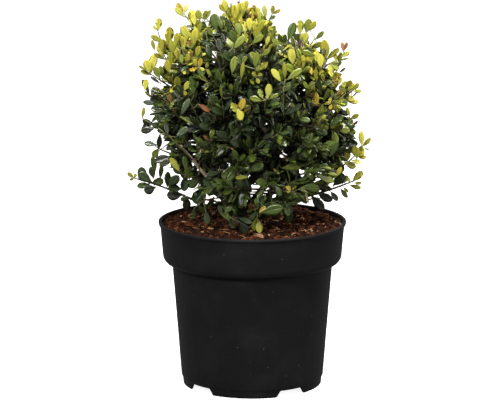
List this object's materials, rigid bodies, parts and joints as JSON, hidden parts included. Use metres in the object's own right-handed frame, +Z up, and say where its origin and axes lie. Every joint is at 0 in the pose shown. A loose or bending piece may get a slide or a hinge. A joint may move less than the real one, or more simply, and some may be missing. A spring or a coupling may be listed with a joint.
{
  "type": "potted japanese holly",
  "caption": "Rounded evergreen shrub with small glossy leaves and yellow-green young tips, growing in compost in a black plastic nursery pot with a collar and feet.",
  "frame": {"origin": "on the ground, under the middle of the whole plant's bounding box; the pot's axis stands about 2 mm from it because the crown is a little fuller on one side", "axes": "+Z up; -Y towards the front that the picture shows; +X to the right in that view"},
  "size_m": [0.2492, 0.2256, 0.3939],
  "materials": {
    "pot_plastic": "satin",
    "compost": "matte",
    "trunk_bark": "matte",
    "bough_bark": "matte",
    "foliage_young": "satin",
    "foliage_mixed": "satin",
    "foliage_dark": "satin"
  },
  "bodies": {
    "root": {"pot": "pot_plastic", "compost": "compost", "trunk": "trunk_bark", "bough_top": "bough_bark", "foliage_top": "foliage_young", "bough_upper_1": "bough_bark", "foliage_upper_1": "foliage_mixed", "bough_upper_2": "bough_bark", "foliage_upper_2": "foliage_mixed", "bough_upper_3": "bough_bark", "foliage_upper_3": "foliage_mixed", "bough_upper_4": "bough_bark", "foliage_upper_4": "foliage_mixed", "bough_upper_5": "bough_bark", "foliage_upper_5": "foliage_mixed", "bough_lower_1": "bough_bark", "foliage_lower_1": "foliage_dark", "bough_lower_2": "bough_bark", "foliage_lower_2": "foliage_dark", "bough_lower_3": "bough_bark", "foliage_lower_3": "foliage_dark", "bough_lower_4": "bough_bark", "foliage_lower_4": "foliage_dark", "bough_lower_5": "bough_bark", "foliage_lower_5": "foliage_dark", "bough_lower_6": "bough_bark", "foliage_lower_6": "foliage_dark", "bough_lower_7": "bough_bark", "foliage_lower_7": "foliage_dark", "bough_low_1": "bough_bark", "foliage_low_1": "foliage_dark", "bough_low_2": "bough_bark", "foliage_low_2": "foliage_dark", "bough_low_3": "bough_bark", "foliage_low_3": "foliage_dark"}
  },
  "joints": []
}
